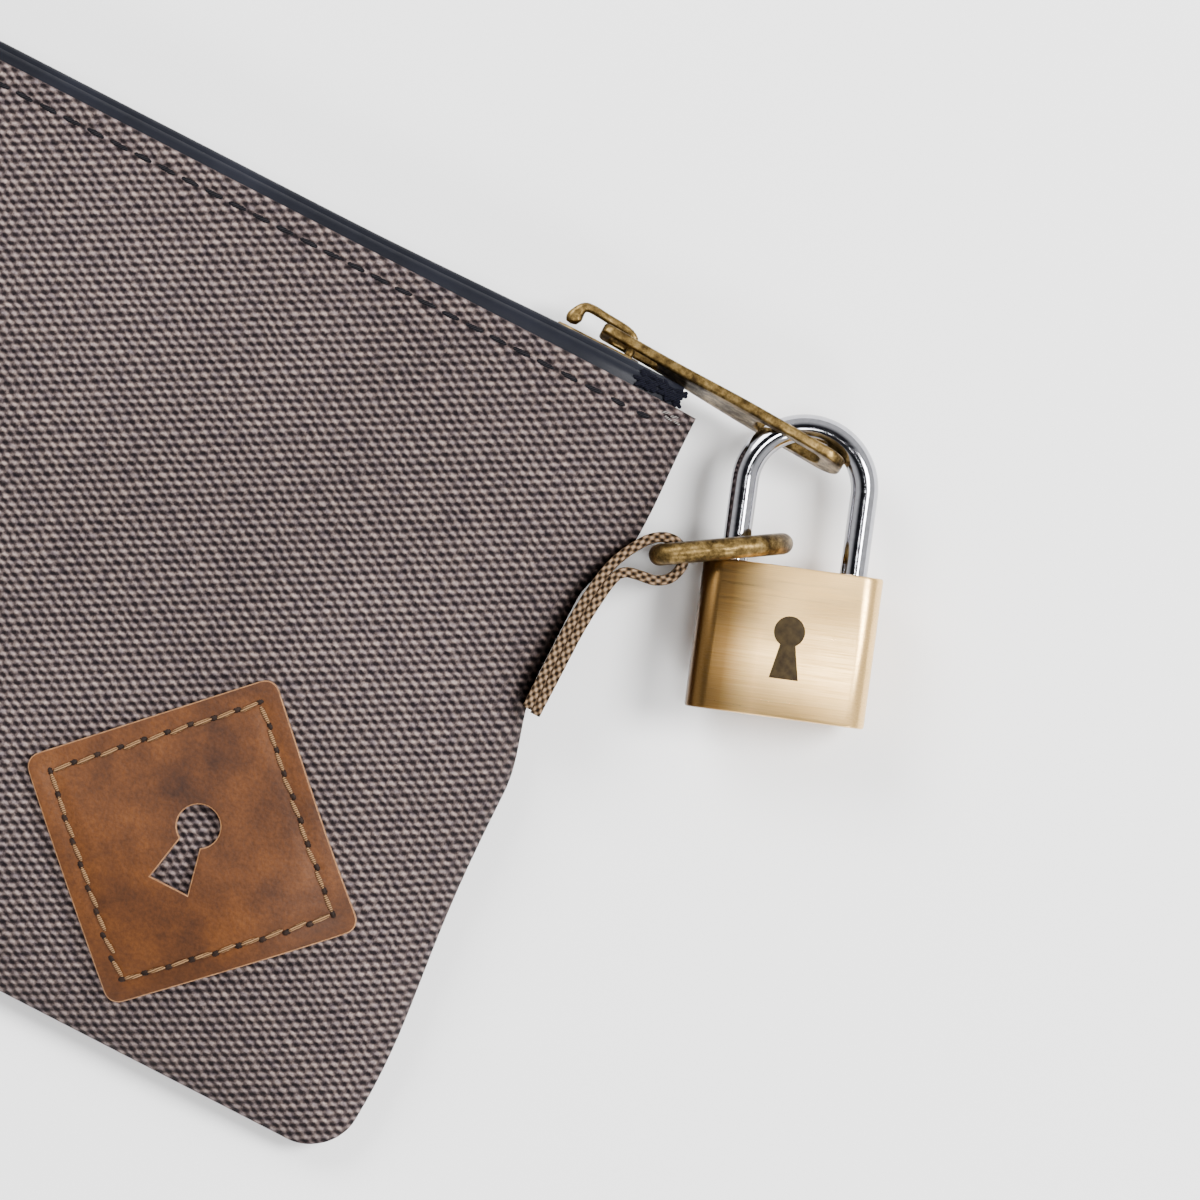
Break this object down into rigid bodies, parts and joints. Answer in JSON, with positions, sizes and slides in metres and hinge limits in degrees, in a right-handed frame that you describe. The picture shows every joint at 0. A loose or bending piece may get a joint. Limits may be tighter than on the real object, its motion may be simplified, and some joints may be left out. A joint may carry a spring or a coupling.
{
  "type": "cash deposit bag",
  "caption": "Flat lined canvas zip pouch with a leather corner patch, whose zip puller is padlocked to a D-ring held in a webbing loop on the side seam.",
  "frame": {"origin": "centre of the flat outer face of the back panel, on which the pouch lies", "axes": "+X along the zip to its closed, padlocked end; +Y out of the zip edge; +Z out of the front panel"},
  "size_m": [0.2642, 0.1483, 0.0273],
  "materials": {
    "canvas": "coarse woven grey-taupe canvas",
    "lining": "plain dark lining cloth",
    "zip_tape": "coated near-black tape",
    "zip_chain": "black moulded coil",
    "antique_brass": "antiqued, darker in the hollows",
    "lock_brass": "brushed",
    "polished_steel": "polished",
    "plain_steel": "plain",
    "webbing": "beige woven webbing",
    "leather": "oiled tan leather"
  },
  "bodies": {
    "bag": {"front_panel": "canvas", "back_panel": "canvas", "front_lining": "lining", "back_lining": "lining", "front_zip_tape": "zip_tape", "back_zip_tape": "zip_tape", "front_zip_chain": "zip_chain", "back_zip_chain": "zip_chain", "front_top_stop": "antique_brass", "back_top_stop": "antique_brass", "bottom_stop": "antique_brass", "side_loop": "webbing", "leather_patch": "leather"},
    "slider": {"slider_body": "antique_brass", "slider_bridge": "antique_brass"},
    "puller": {"puller": "antique_brass"},
    "shackle": {"shackle": "polished_steel"},
    "padlock": {"padlock_body": "lock_brass", "heel_pin": "plain_steel", "plug_retaining_pin": "plain_steel", "bolt_spring": "plain_steel", "driver_pin_1": "lock_brass", "driver_pin_2": "lock_brass", "driver_pin_3": "lock_brass", "pin_spring_1": "plain_steel", "pin_spring_2": "plain_steel", "pin_spring_3": "plain_steel"},
    "key_plug": {"key_plug": "lock_brass"},
    "locking_bolt": {"locking_bolt": "plain_steel"},
    "d_ring": {"d_ring": "antique_brass"}
  },
  "joints": [
    {"name": "zip_slide", "type": "slide", "parent": "bag", "child": "slider", "axis": [1, 0, 0], "range_m": [-0.0012, 0]},
    {"name": "puller_swing", "type": "hinge", "parent": "slider", "child": "puller", "pos_m": [0.0882, 0.075, 0.0108], "axis": [0, 0, 1], "range_deg": [-0.5, 1.2]},
    {"name": "shackle_swing", "type": "hinge", "parent": "puller", "child": "shackle", "pos_m": [0.1214, 0.0733, 0.0108], "axis": [0, 0, 1], "range_deg": [0, 5]},
    {"name": "shackle_lift", "type": "slide", "parent": "shackle", "child": "padlock", "axis": [0.3338, -0.9426, 0], "range_m": [0, 0.0085]},
    {"name": "key_turn", "type": "hinge", "parent": "padlock", "child": "key_plug", "pos_m": [0.138, 0.0426, 0.0108], "axis": [-0.3338, 0.9426, 0], "range_deg": [0, 90]},
    {"name": "bolt_slide", "type": "slide", "parent": "padlock", "child": "locking_bolt", "axis": [0.9426, 0.3338, 0], "range_m": [0, 0.002]},
    {"name": "ring_swing", "type": "hinge", "parent": "bag", "child": "d_ring", "pos_m": [0.11299, 0.04614, 0.0108], "axis": [0, 0, 1], "range_deg": [0, 10]}
  ],
  "couplings": [
    {"joint": "bolt_slide", "follows": "shackle_lift", "ratio": 0.23529}
  ]
}
